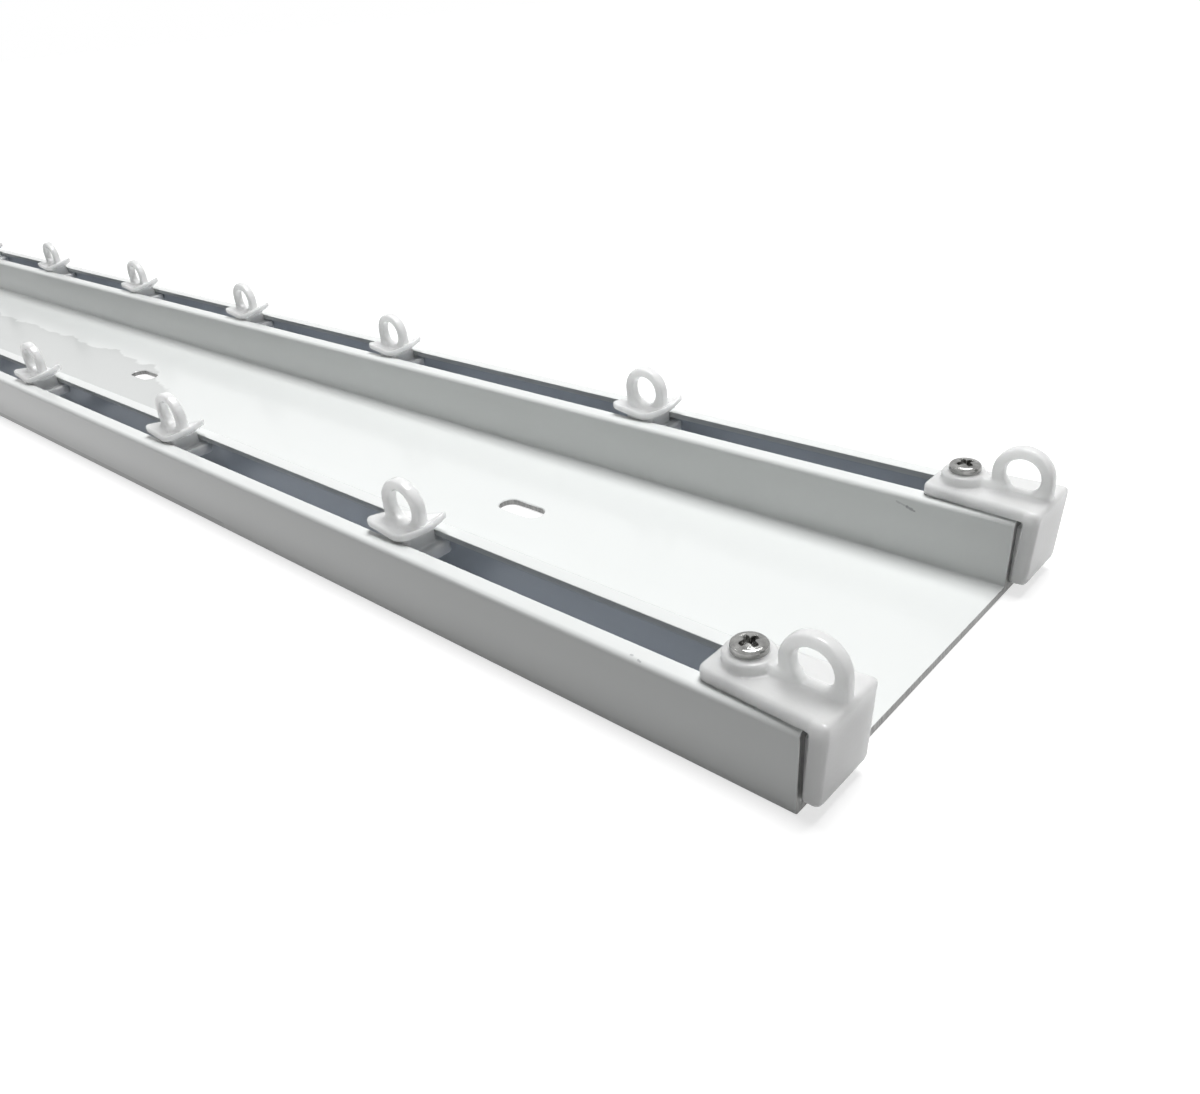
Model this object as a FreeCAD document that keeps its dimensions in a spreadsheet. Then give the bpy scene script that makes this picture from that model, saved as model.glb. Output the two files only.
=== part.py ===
import FreeCAD, Part
from math import pi
import os
import re
import Sketcher

# A double curtain track, laid upside down on its fixing face with the slots upwards.
# Lengths are in millimetres. X runs along the rail, Y across it and Z away from the fixing face.
# The origin is the middle of the fixing face. Front is the channel on the -Y side.

SIZES = {
    "rail_length": 800.0,
    "rail_width": 80.0,
    "channel_width": 13.6,
    "channel_height": 14.0,
    "wall": 1.4,
    "lip_width": 3.4,
    "outer_bend": 1.6,
    "fixing_length": 12.0,
    "fixing_width": 4.8,
    "fixing_pitch": 173.6,
    "fixing_setback": 94.7,
    "fixing_margin": 30.0,
    "fixing_offset": 1.6,
    "eye_bore": 6.4,
    "eye_band": 2.0,
    "eye_thickness": 2.2,
    "eye_height": 5.6,
    "glider_count": 9,
    "glider_setback": 86.0,
    "glider_float": 0.4,
    "wing_length": 14.2,
    "wing_width": 8.8,
    "wing_thickness": 1.4,
    "wing_flat": 8.0,
    "wing_lift": 0.6,
    "wing_rise": 1.6,
    "wing_tip_cut": 1.0,
    "wing_twist_cut": 3.6,
    "neck_length": 7.8,
    "neck_clearance": 0.3,
    "foot_length": 12.0,
    "foot_width": 9.6,
    "foot_thickness": 2.4,
    "foot_tip_cut": 0.6,
    "foot_twist_cut": 2.6,
    "foot_clearance": 0.5,
    "flange_length": 17.2,
    "flange_width": 10.6,
    "flange_root_width": 12.8,
    "flange_thickness": 2.2,
    "flange_float": 0.15,
    "flange_cut": 1.3,
    "flange_bevel": 0.8,
    "flange_lap": 2.2,
    "plug_length": 15.0,
    "plug_clearance": 0.15,
    "block_length": 4.2,
    "block_gap": 0.7,
    "block_width": 13.4,
    "block_base": 2.0,
    "block_taper": 1.0,
    "block_edge": 0.6,
    "block_side_cut": 1.2,
    "block_base_cut": 1.4,
    "block_top_cut": 0.8,
    "boss_diameter": 7.8,
    "boss_height": 1.8,
    "screw_setback": 11.8,
    "eye_setback": 1.6,
    "rib_width": 2.4,
    "screw_diameter": 2.9,
    "screw_clearance": 0.1,
    "head_diameter": 5.6,
    "head_height": 1.6,
    "cross_span": 3.3,
    "cross_width": 0.9,
    "cross_depth": 1.1,
}

# How far each glider was pushed from its even place, away from the right end, counted from that end.
FRONT_SHIFTS = (0.3, 8.1, 9.4, 5.2, 7.6, 2.1, -3.4, 1.8, 0.6)
BACK_SHIFTS = (-1.6, 10.0, 8.4, 4.6, 2.4, -3.0, -5.5, 1.3, -0.8)

# Levels above the fixing face, and other lengths that more than one piece shares.
LIP_UNDERSIDE = "channel_height - wall"
SLOT_WIDTH = "channel_width - 2*lip_width"
CHANNEL_INSIDE = "channel_width - 2*wall"
CHANNEL_CENTRE = "rail_width/2 - channel_width/2"
EYE_RADIUS = "eye_bore/2 + eye_band"
EYE_LEVEL = "channel_height + eye_height"
WING_BASE = "channel_height + glider_float"
WING_TOP = "channel_height + glider_float + wing_thickness"
FOOT_TOP = "channel_height - wall - foot_clearance"
FLANGE_BASE = "channel_height + flange_float"
FLANGE_TOP = "channel_height + flange_float + flange_thickness"
BOSS_TOP = "channel_height + flange_float + flange_thickness + boss_height"
GLIDER_PITCH = "(rail_length - 2*glider_setback)/(glider_count - 1)"

doc = FreeCAD.newDocument("CurtainTrack")


def make_sheet():
    """Writes every driving dimension and every glider's shift into the sheet, each with its alias."""
    sheet = doc.addObject("Spreadsheet::Sheet", "Sizes")
    rows = dict(SIZES)
    for channel, shifts in (("front", FRONT_SHIFTS), ("back", BACK_SHIFTS)):
        for number, shift in enumerate(shifts, 1):
            rows[f"{channel}_shift_{number:02d}"] = shift
    for row, (alias, value) in enumerate(rows.items(), 1):
        sheet.set(f"A{row}", alias)
        sheet.set(f"B{row}", str(value))
        sheet.setAlias(f"B{row}", alias)
    doc.recompute()
    return sheet, set(rows)


sheet, aliases = make_sheet()


def bound(formula):
    """Turns a formula of plain aliases into an expression that reads the sheet."""
    def cell(match):
        return "Sizes." + match.group() if match.group() in aliases else match.group()
    return re.sub(r"[a-z_][a-z_0-9]*", cell, formula)


def value(formula):
    """The number that a formula of aliases has now."""
    return float(sheet.evalExpression(bound(formula)))


def new_body(name):
    return doc.addObject("PartDesign::Body", name)


def origin_feature(body, role):
    """One of a body's own origin planes or axes."""
    return next(item for item in body.Origin.OriginFeatures if item.Role == role)


def new_sketch(body, name, plane, along="0", right="0", up="0"):
    """A sketch on an origin plane, moved along the plane's normal and within the plane."""
    sketch = body.newObject("Sketcher::SketchObject", name)
    sketch.AttachmentSupport = [(origin_feature(body, plane), "")]
    sketch.MapMode = "FlatFace"
    for axis, formula in (("x", right), ("y", up), ("z", along)):
        sketch.setExpression(f"AttachmentOffset.Base.{axis}", bound(formula))
    return sketch


def fix_point(sketch, geometry, end, right, up):
    """Ties one point of the sketch to two formulas, measured from the sketch's origin."""
    for kind, formula in (("DistanceX", right), ("DistanceY", up)):
        index = sketch.addConstraint(Sketcher.Constraint(kind, -1, 1, geometry, end, value(formula)))
        sketch.setExpression(f"Constraints[{index}]", bound(formula))


def fix_radius(sketch, geometry, formula):
    index = sketch.addConstraint(Sketcher.Constraint("Radius", geometry, value(formula)))
    sketch.setExpression(f"Constraints[{index}]", bound(formula))


def direction(start, end):
    """Which way an edge runs along the axes: a pair of -1, 0 or 1."""
    tiny = 1e-9
    steps = [end[0] - start[0], end[1] - start[1]]
    return [0 if abs(step) < tiny else int(step / abs(step)) for step in steps]


def outline(sketch, corners):
    """Draws one closed outline through its corners, each (right, up) or (right, up, radius).

    The edges that meet at a rounded corner run along the axes.
    """
    count = len(corners)
    places = [(value(corner[0]), value(corner[1])) for corner in corners]
    entries = []
    exits = []
    for number, corner in enumerate(corners):
        right, up = corner[0], corner[1]
        if len(corner) == 2:
            entries.append((right, up))
            exits.append((right, up))
            continue
        before = direction(places[number - 1], places[number])
        after = direction(places[number], places[(number + 1) % count])
        radius = f"({corner[2]})"
        entries.append((f"{right} - {before[0]}*{radius}", f"{up} - {before[1]}*{radius}"))
        exits.append((f"{right} + {after[0]}*{radius}", f"{up} + {after[1]}*{radius}"))
    lines = []
    for number in range(count):
        ends = [exits[number], entries[(number + 1) % count]]
        points = [FreeCAD.Vector(value(right), value(up), 0) for right, up in ends]
        lines.append(sketch.addGeometry(Part.LineSegment(*points), False))
        fix_point(sketch, lines[-1], 1, *ends[0])
    for number, corner in enumerate(corners):
        line_in, line_out = lines[number - 1], lines[number]
        if len(corner) == 2:
            sketch.addConstraint(Sketcher.Constraint("Coincident", line_in, 2, line_out, 1))
            continue
        fix_point(sketch, line_in, 2, *entries[number])
        start = FreeCAD.Vector(*[value(part) for part in entries[number]], 0)
        end = FreeCAD.Vector(*[value(part) for part in exits[number]], 0)
        corner_point = FreeCAD.Vector(*places[number], 0)
        centre = start + end - corner_point
        left_turn = (corner_point - start).cross(end - corner_point).z > 0
        first, last = (start, end) if left_turn else (end, start)
        angles = [FreeCAD.Vector(1, 0, 0).getAngle(point - centre) for point in (first, last)]
        angles = [
            angle if (point - centre).y >= -1e-9 else -angle
            for angle, point in zip(angles, (first, last))
        ]
        circle = Part.Circle(centre, FreeCAD.Vector(0, 0, 1), value(corner[2]))
        arc = sketch.addGeometry(Part.ArcOfCircle(circle, *angles), False)
        arc_in, arc_out = (1, 2) if left_turn else (2, 1)
        sketch.addConstraint(Sketcher.Constraint("Coincident", line_in, 2, arc, arc_in))
        sketch.addConstraint(Sketcher.Constraint("Coincident", arc, arc_out, line_out, 1))
        fix_radius(sketch, arc, corner[2])


def rectangle(half_length, half_width):
    """The corners of a rectangle about the sketch's origin."""
    return [
        (f"-({half_length})", f"-({half_width})"),
        (f"{half_length}", f"-({half_width})"),
        (f"{half_length}", f"{half_width}"),
        (f"-({half_length})", f"{half_width}"),
    ]


def clipped(left, right, bottom, top, cuts):
    """A rectangle with corners cut off at 45 degrees, from the bottom left round; None stays sharp."""
    places = ((left, bottom, 1, 1), (right, bottom, -1, 1), (right, top, -1, -1), (left, top, 1, -1))
    corners = []
    for (across, up, inward, upward), cut in zip(places, cuts):
        if cut is None:
            corners.append((across, up))
            continue
        ends = [(f"{across} + {inward}*{cut}", up), (across, f"{up} + {upward}*{cut}")]
        corners += ends[::-1] if inward == upward else ends
    return corners


def cut_corner(sketch, across, up, leg, inward, upward):
    """Draws the triangle that a 45 degree cut takes off a corner."""
    points = [(across, up), (f"{across} + {inward}*{leg}", up), (across, f"{up} + {upward}*{leg}")]
    outline(sketch, points if inward == upward else points[::-1])


def leaf(half_length, half_width, tip_cut, twist_cut):
    """A plan whose opposite corners are cut alike, so that the piece turns in through a slot."""
    cuts = (tip_cut, twist_cut, tip_cut, twist_cut)
    return clipped(f"-{half_length}", half_length, f"-{half_width}", half_width, cuts)


def circle(sketch, formula):
    """A circle about the sketch's origin."""
    shape = Part.Circle(FreeCAD.Vector(0, 0, 0), FreeCAD.Vector(0, 0, 1), value(formula))
    index = sketch.addGeometry(shape, False)
    sketch.addConstraint(Sketcher.Constraint("Coincident", index, 3, -1, 1))
    fix_radius(sketch, index, formula)


def arch(sketch, radius, base, centre):
    """An upright outline with straight sides, closed by half a circle over its centre."""
    reach, low, middle = value(radius), value(base), value(centre)
    left_foot = FreeCAD.Vector(-reach, low, 0)
    right_foot = FreeCAD.Vector(reach, low, 0)
    right_spring = FreeCAD.Vector(reach, middle, 0)
    left_spring = FreeCAD.Vector(-reach, middle, 0)
    round_centre = FreeCAD.Vector(0, middle, 0)
    foot = sketch.addGeometry(Part.LineSegment(left_foot, right_foot), False)
    right_side = sketch.addGeometry(Part.LineSegment(right_foot, right_spring), False)
    half_circle = Part.ArcOfCircle(Part.Circle(round_centre, FreeCAD.Vector(0, 0, 1), reach), 0, pi)
    crown = sketch.addGeometry(half_circle, False)
    left_side = sketch.addGeometry(Part.LineSegment(left_spring, left_foot), False)
    chain = ((foot, right_side), (right_side, crown), (crown, left_side), (left_side, foot))
    for first, second in chain:
        sketch.addConstraint(Sketcher.Constraint("Coincident", first, 2, second, 1))
    fix_point(sketch, foot, 1, f"-({radius})", base)
    fix_point(sketch, foot, 2, radius, base)
    fix_point(sketch, crown, 1, radius, centre)
    fix_point(sketch, crown, 3, "0", centre)
    sketch.addConstraint(Sketcher.Constraint("Horizontal", crown, 1, crown, 2))


def slot_outline(sketch, half_length, half_width, middle):
    """A round-ended slot whose middle lies on the sketch's right axis."""
    length, radius, centre = value(half_length), value(half_width), value(middle)
    reach = length - radius
    right_end = FreeCAD.Vector(centre + reach, 0, 0)
    left_end = FreeCAD.Vector(centre - reach, 0, 0)
    side = FreeCAD.Vector(0, radius, 0)
    upward = FreeCAD.Vector(0, 0, 1)
    quarter = pi / 2
    lower = sketch.addGeometry(Part.LineSegment(left_end - side, right_end - side), False)
    arc = Part.ArcOfCircle(Part.Circle(right_end, upward, radius), -quarter, quarter)
    right_arc = sketch.addGeometry(arc, False)
    upper = sketch.addGeometry(Part.LineSegment(right_end + side, left_end + side), False)
    arc = Part.ArcOfCircle(Part.Circle(left_end, upward, radius), quarter, 3 * quarter)
    left_arc = sketch.addGeometry(arc, False)
    for first, second in ((lower, right_arc), (right_arc, upper), (upper, left_arc), (left_arc, lower)):
        sketch.addConstraint(Sketcher.Constraint("Tangent", first, 2, second, 1))
    fix_point(sketch, right_arc, 3, f"{middle} + ({half_length}) - ({half_width})", "0")
    fix_point(sketch, left_arc, 3, f"{middle} - ({half_length}) + ({half_width})", "0")
    fix_radius(sketch, right_arc, half_width)
    fix_radius(sketch, left_arc, half_width)


def pad(body, sketch, name, length, symmetric=False):
    """Thickens a sketch along its normal, or to both sides of it alike."""
    feature = body.newObject("PartDesign::Pad", name)
    feature.Profile = sketch
    feature.SideType = "Symmetric" if symmetric else "One side"
    feature.setExpression("Length", bound(length))
    return feature


def pocket(body, sketch, name, length, towards_normal):
    """Cuts a sketch to a depth, along its normal or against it."""
    feature = body.newObject("PartDesign::Pocket", name)
    feature.Profile = sketch
    feature.Reversed = towards_normal
    feature.setExpression("Length", bound(length))
    return feature


def turned(body, sketch, name, kind, axis):
    """Turns a sketch once round one of its own axes, to add or to cut."""
    feature = body.newObject(kind, name)
    feature.Profile = sketch
    feature.ReferenceAxis = (sketch, [axis])
    feature.Angle = 360.0
    return feature


def edge_names(shape, wanted):
    """The names of the edges whose middle point passes a test."""
    return [f"Edge{n}" for n, edge in enumerate(shape.Edges, 1) if wanted(edge.CenterOfMass)]


def mirrored_copies(corners):
    """A left half of an outline, followed by its mirror image."""
    other = []
    for corner in reversed(corners):
        other.append((f"-({corner[0]})", *corner[1:]))
    return corners + other


def make_rail():
    """One folded section: a flat plate with a channel along each edge, lips turned in over its slot."""
    body = new_body("Rail")
    profile = new_sketch(body, "RailProfile", "YZ_Plane", along="-rail_length/2")
    edge = "rail_width/2"
    inside = f"{edge} - channel_width"
    right_half = [
        (edge, "0"),
        (edge, "channel_height", "outer_bend"),
        (f"{edge} - lip_width", "channel_height"),
        (f"{edge} - lip_width", LIP_UNDERSIDE),
        (f"{edge} - wall", LIP_UNDERSIDE),
        (f"{edge} - wall", "wall"),
        (f"{inside} + wall", "wall"),
        (f"{inside} + wall", LIP_UNDERSIDE),
        (f"{inside} + lip_width", LIP_UNDERSIDE),
        (f"{inside} + lip_width", "channel_height"),
        (inside, "channel_height", "outer_bend"),
        (inside, "wall"),
    ]
    outline(profile, mirrored_copies(right_half))
    pad(body, profile, "RailSection", "rail_length")
    fixing = new_sketch(body, "FixingOutline", "XY_Plane", up="fixing_offset")
    slot_outline(fixing, "fixing_length/2", "fixing_width/2", "rail_length/2 - fixing_setback")
    cut = pocket(body, fixing, "FixingSlot", "2*wall", towards_normal=True)
    row = body.newObject("PartDesign::LinearPattern", "FixingRow")
    row.Originals = [cut]
    row.Direction = (origin_feature(body, "X_Axis"), [""])
    row.Reversed = True
    row.Mode = "Spacing"
    row.setExpression("Offset", bound("fixing_pitch"))
    last_place = "floor((rail_length - fixing_setback - fixing_margin)/fixing_pitch)"
    row.setExpression("Occurrences", bound(f"{last_place} + 1"))
    body.Tip = row
    body.Label = "track_rail"
    return body


def add_eye(body, middle, base):
    """An upright eye in the plane along the rail: a ring on straight sides that run down to a base."""
    plate = new_sketch(body, "EyeOutline", "XZ_Plane", right=middle)
    arch(plate, EYE_RADIUS, base, EYE_LEVEL)
    pad(body, plate, "EyePlate", "eye_thickness", symmetric=True)
    bore = new_sketch(body, "EyeBore", "XZ_Plane", right=middle, up=EYE_LEVEL)
    circle(bore, "eye_bore/2")
    hole = body.newObject("PartDesign::Pocket", "EyeHole")
    hole.Profile = bore
    hole.SideType = "Symmetric"
    hole.setExpression("Length", bound("2*eye_thickness"))


def make_glider():
    """A nylon glider about its own centre: wings over the slot, a neck, a foot in the channel, an eye."""
    body = new_body("Glider")
    half, flat = "wing_length/2", "wing_flat/2"
    wings = new_sketch(body, "WingProfile", "XZ_Plane")
    outline(wings, [
        (f"-{half}", f"{WING_BASE} + wing_lift"),
        (f"-{flat}", WING_BASE),
        (flat, WING_BASE),
        (half, f"{WING_BASE} + wing_rise"),
        (half, f"{WING_TOP} + wing_rise"),
        (flat, WING_TOP),
        (f"-{flat}", WING_TOP),
        (f"-{half}", f"{WING_TOP} + wing_lift"),
    ])
    pad(body, wings, "Wings", "wing_width", symmetric=True)
    trim = new_sketch(body, "WingTrim", "XY_Plane", along=WING_BASE)
    outline(trim, rectangle("wing_length", "wing_width"))
    outline(trim, leaf(half, "wing_width/2", "wing_tip_cut", "wing_twist_cut"))
    pocket(body, trim, "WingPlan", "wing_thickness + wing_lift + wing_rise", towards_normal=True)
    foot = new_sketch(body, "FootPlan", "XY_Plane", along=f"{FOOT_TOP} - foot_thickness")
    outline(foot, leaf("foot_length/2", "foot_width/2", "foot_tip_cut", "foot_twist_cut"))
    pad(body, foot, "Foot", "foot_thickness")
    neck = new_sketch(body, "NeckPlan", "XY_Plane", along=f"{FOOT_TOP} - foot_thickness")
    outline(neck, rectangle("neck_length/2", f"({SLOT_WIDTH})/2 - neck_clearance"))
    pad(body, neck, "Neck", f"{WING_TOP} - ({FOOT_TOP} - foot_thickness)")
    add_eye(body, "0", f"{WING_BASE} + wing_thickness/2")
    return body


def make_end_stop():
    """A nylon end stop, placed from the rail's cut end: flange, plug, end block, screw boss and eye."""
    body = new_body("EndStop")
    flange = new_sketch(body, "FlangePlan", "XY_Plane", along=FLANGE_BASE)
    tip, root = "flange_width/2", "flange_root_width/2"
    outline(flange, [
        ("-flange_length", f"flange_cut - {tip}"),
        ("flange_cut - flange_length", f"-{tip}"),
        ("flange_lap", f"-{root}"),
        ("flange_lap", root),
        ("flange_cut - flange_length", tip),
        ("-flange_length", f"{tip} - flange_cut"),
    ])
    flange_pad = pad(body, flange, "Flange", "flange_thickness")
    doc.recompute()
    top = value(FLANGE_TOP)
    lap_end = value("flange_lap")
    tiny = 1e-4
    bevel = body.newObject("PartDesign::Chamfer", "FlangeBevel")
    bevel.Base = (flange_pad, edge_names(
        flange_pad.Shape,
        lambda middle: abs(middle.z - top) < tiny and middle.x < lap_end - tiny,
    ))
    bevel.setExpression("Size", bound("flange_bevel"))
    add_block(body)
    plug = new_sketch(body, "PlugEnd", "YZ_Plane", along="-plug_length", up="channel_height/2")
    plug_side = f"({CHANNEL_INSIDE})/2 - plug_clearance"
    outline(plug, rectangle(plug_side, "channel_height/2 - wall - plug_clearance"))
    pad(body, plug, "Plug", "plug_length + block_gap + block_taper")
    neck = new_sketch(body, "StopNeckPlan", "XY_Plane", along="channel_height/2", right="-plug_length/2")
    outline(neck, rectangle("plug_length/2", f"({SLOT_WIDTH})/2 - plug_clearance"))
    pad(body, neck, "StopNeck", f"{FLANGE_TOP} - channel_height/2")
    boss = new_sketch(body, "BossPlan", "XY_Plane", along=FLANGE_BASE, right="-screw_setback")
    circle(boss, "boss_diameter/2")
    pad(body, boss, "Boss", f"{BOSS_TOP} - ({FLANGE_BASE})")
    rib_middle = "-(screw_setback + eye_setback)/2"
    rib = new_sketch(body, "RibPlan", "XY_Plane", along=FLANGE_BASE, right=rib_middle)
    outline(rib, rectangle("(screw_setback - eye_setback)/2", "rib_width/2"))
    pad(body, rib, "Rib", f"{BOSS_TOP} - ({FLANGE_BASE})")
    add_eye(body, "-eye_setback", FLANGE_BASE)
    hole = new_sketch(body, "ScrewHolePlan", "XY_Plane", right="-screw_setback")
    circle(hole, "screw_diameter/2 + screw_clearance")
    pocket(body, hole, "ScrewHole", f"{BOSS_TOP} + 1", towards_normal=True)
    return body


def add_block(body):
    """The end block, which stands a small gap off the channel's mouth, leans out and has cut edges."""
    side = new_sketch(body, "BlockSide", "XZ_Plane")
    foot_reach = "block_length - block_taper"
    outline(side, [
        ("block_gap", "block_base"),
        (f"{foot_reach} - block_edge", "block_base"),
        (foot_reach, "block_base + block_edge"),
        ("block_length", f"{FLANGE_TOP} - block_edge"),
        ("block_length - block_edge", FLANGE_TOP),
        ("block_gap + block_taper", FLANGE_TOP),
    ])
    pad(body, side, "Block", "block_width", symmetric=True)
    half_width = "block_width/2"
    face = new_sketch(body, "BlockFace", "YZ_Plane")
    for side_sign in ("-", ""):
        inward = 1 if side_sign else -1
        cut_corner(face, f"{side_sign}{half_width}", "block_base", "block_base_cut", inward, 1)
        cut_corner(face, f"{side_sign}{half_width}", FLANGE_TOP, "block_top_cut", inward, -1)
    pocket(body, face, "BlockCorners", "block_length + 1", towards_normal=True)
    plan = new_sketch(body, "BlockPlan", "XY_Plane")
    cut_corner(plan, "block_length", f"-{half_width}", "block_side_cut", -1, 1)
    cut_corner(plan, "block_length", half_width, "block_side_cut", -1, -1)
    pocket(body, plan, "BlockSides", f"{FLANGE_TOP} + 1", towards_normal=True)


def make_screw():
    """A pan-head machine screw about its own axis, standing on the channel floor under its point."""
    body = new_body("StopScrew")
    radius, head = "screw_diameter/2", "head_diameter/2"
    head_top = f"{BOSS_TOP} + head_height"
    profile = new_sketch(body, "ScrewProfile", "XZ_Plane")
    outline(profile, [
        ("0", "wall"),
        (radius, "wall"),
        (radius, BOSS_TOP),
        (head, BOSS_TOP),
        (head, head_top),
        ("0", head_top),
    ])
    turned(body, profile, "Shank", "PartDesign::Revolution", "V_Axis")
    recess = new_sketch(body, "RecessPlan", "XY_Plane", along=head_top)
    span, width = "cross_span/2", "cross_width/2"
    outline(recess, [
        (width, width), (span, width), (span, f"-{width}"), (width, f"-{width}"),
        (width, f"-{span}"), (f"-{width}", f"-{span}"), (f"-{width}", f"-{width}"),
        (f"-{span}", f"-{width}"), (f"-{span}", width), (f"-{width}", width),
        (f"-{width}", span), (width, span),
    ])
    pocket(body, recess, "CrossRecess", "cross_depth", towards_normal=False)
    return body


def placed_copy(source, name, right, back, half_turn=False):
    """A copy of a body at its own place, turned by half a turn for the rail's left end."""
    body = new_body(name)
    copy = body.newObject("PartDesign::FeatureBase", name + "_shape")
    copy.BaseFeature = source
    body.Tip = copy
    angle = 180 if half_turn else 0
    body.Placement = FreeCAD.Placement(FreeCAD.Vector(), FreeCAD.Rotation(FreeCAD.Vector(0, 0, 1), angle))
    body.setExpression("Placement.Base.x", bound(right))
    body.setExpression("Placement.Base.y", bound(back))
    body.Label = name
    return body


def place_gliders(glider):
    """A row of gliders in each channel, numbered from the right end."""
    row = []
    for channel, side in (("front", "-"), ("back", "")):
        for number in range(1, int(value("glider_count")) + 1):
            tag = f"{number:02d}"
            shift = f"{channel}_shift_{tag}"
            distance = f"glider_setback + {number - 1}*{GLIDER_PITCH}"
            if shift in aliases:
                distance += f" + {shift}"
            right = f"rail_length/2 - ({distance})"
            row.append(placed_copy(glider, f"glider_{channel}_{tag}", right, f"{side}({CHANNEL_CENTRE})"))
    return row


def place_ends(stop, screw):
    """An end stop and its locking screw at each end of each channel."""
    stops = []
    screws = []
    for channel, side in (("front", "-"), ("back", "")):
        for end, sign, half_turn in (("right", "", False), ("left", "-", True)):
            name = f"end_stop_{channel}_{end}"
            back = f"{side}({CHANNEL_CENTRE})"
            stops.append(placed_copy(stop, name, f"{sign}rail_length/2", back, half_turn))
            right = f"{sign}(rail_length/2 - screw_setback)"
            screws.append(placed_copy(screw, f"screw_{channel}_{end}", right, back))
    group = doc.addObject("Part::Compound", "StopScrews")
    group.Links = screws
    group.Label = "stop_screws"
    return stops + [group]


def check_document():
    """Stops if any object of the document failed."""
    for item in doc.Objects:
        if "Invalid" in item.State or "Error" in item.State:
            raise RuntimeError(f"{item.Label} failed: {item.State}")


def export(nodes):
    """Checks every piece, then writes each to its own file."""
    for node in nodes:
        if node.Shape.isNull() or not node.Shape.isValid() or not node.Shape.Solids:
            raise RuntimeError(f"{node.Label} has no valid solid")
    os.makedirs("parts", exist_ok=True)
    for node in nodes:
        node.Shape.exportStep(f"parts/{node.Label}.step")
    print(len(nodes), "nodes,", sum(len(node.Shape.Solids) for node in nodes), "solids")


rail = make_rail()
glider = make_glider()
stop = make_end_stop()
screw = make_screw()
doc.recompute()
nodes = [rail] + place_gliders(glider) + place_ends(stop, screw)
doc.recompute()
check_document()
export(nodes)
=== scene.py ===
# %% [markdown]
# # A double curtain track, upside down on a pale floor
#
# The real object is a white metal curtain track for a ceiling. It lies on its flat
# back with its two slots upwards, so the eyes of the gliders stand up. This lesson
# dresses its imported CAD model: it keeps every place and size of that model and
# makes smoother surfaces and proper finishes.

# %% Load the CAD model as a fixed frame
import bmesh
import bpy
import numpy as np
from mathutils import Matrix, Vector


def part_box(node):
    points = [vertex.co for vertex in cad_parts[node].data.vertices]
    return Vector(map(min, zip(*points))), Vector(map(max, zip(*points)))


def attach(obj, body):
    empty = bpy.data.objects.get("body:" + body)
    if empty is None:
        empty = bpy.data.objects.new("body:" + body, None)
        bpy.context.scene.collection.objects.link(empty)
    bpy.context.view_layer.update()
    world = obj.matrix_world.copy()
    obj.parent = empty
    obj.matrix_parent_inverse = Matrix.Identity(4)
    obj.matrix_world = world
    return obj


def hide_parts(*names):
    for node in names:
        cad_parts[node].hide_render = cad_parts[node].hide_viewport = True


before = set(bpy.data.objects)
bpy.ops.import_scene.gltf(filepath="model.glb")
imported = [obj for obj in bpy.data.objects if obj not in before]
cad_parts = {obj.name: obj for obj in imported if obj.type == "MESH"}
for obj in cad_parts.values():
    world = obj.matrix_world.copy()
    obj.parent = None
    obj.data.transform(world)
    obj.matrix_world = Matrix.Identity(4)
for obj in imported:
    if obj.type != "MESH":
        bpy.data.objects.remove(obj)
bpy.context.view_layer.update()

# %% [markdown]
# ## Numbers that the surfaces share
#
# A folded section is the same all along its length, so a few numbers describe it.
# They are written in millimetres, as on a workshop drawing, and each finished
# mesh is turned into metres once, when it is put into Blender.

# %% The section and the places of its channels
MM = 0.001
RAIL_END, RAIL_EDGE, RAIL_TOP = np.array(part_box("track_rail")[1]) / MM
CHANNEL_WIDTH = 13.6
WALL = 1.4
LIP = 3.4
CHANNEL_CENTRE = RAIL_EDGE - CHANNEL_WIDTH / 2
LIP_UNDERSIDE = RAIL_TOP - WALL
print("rail, half length, half width and height in mm:", RAIL_END, RAIL_EDGE, RAIL_TOP)

# %% [markdown]
# ## Turning grids of points into closed meshes
#
# Every new piece is one or more grids of points. A grid is easy to compute as a
# whole array, and its faces follow from the numbers of its rows and columns.

# %% Faces of a grid, and a mesh from several shells
def point_grid(x, y, z):
    """A grid of points from three arrays of coordinates that broadcast to one shape."""
    return np.stack(np.broadcast_arrays(x, y, z), axis=-1)


def grid_quads(rows, columns, wrap=False):
    """Four-sided faces between the neighbours of a rows by columns grid.

    With wrap, the last column also joins the first.
    """
    row = np.arange(rows - 1)[:, None]
    column = np.arange(columns if wrap else columns - 1)[None, :]
    following = (column + 1) % columns
    corners = (row * columns + column, row * columns + following,
               (row + 1) * columns + following, (row + 1) * columns + column)
    return np.stack([corner + 0 * row for corner in corners], axis=-1).reshape(-1, 4)


def shell(grid, wrap=False, first_cap=False, last_cap=False):
    """A grid of shape (rows, columns, 3) as (points, faces).

    Its first or last row can be closed by one many-sided face.
    """
    rows, columns = grid.shape[:2]
    faces = grid_quads(rows, columns, wrap).tolist()
    if first_cap:
        faces.append(list(range(columns))[::-1])
    if last_cap:
        faces.append(list(range((rows - 1) * columns, rows * columns)))
    return grid.reshape(-1, 3), faces


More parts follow.
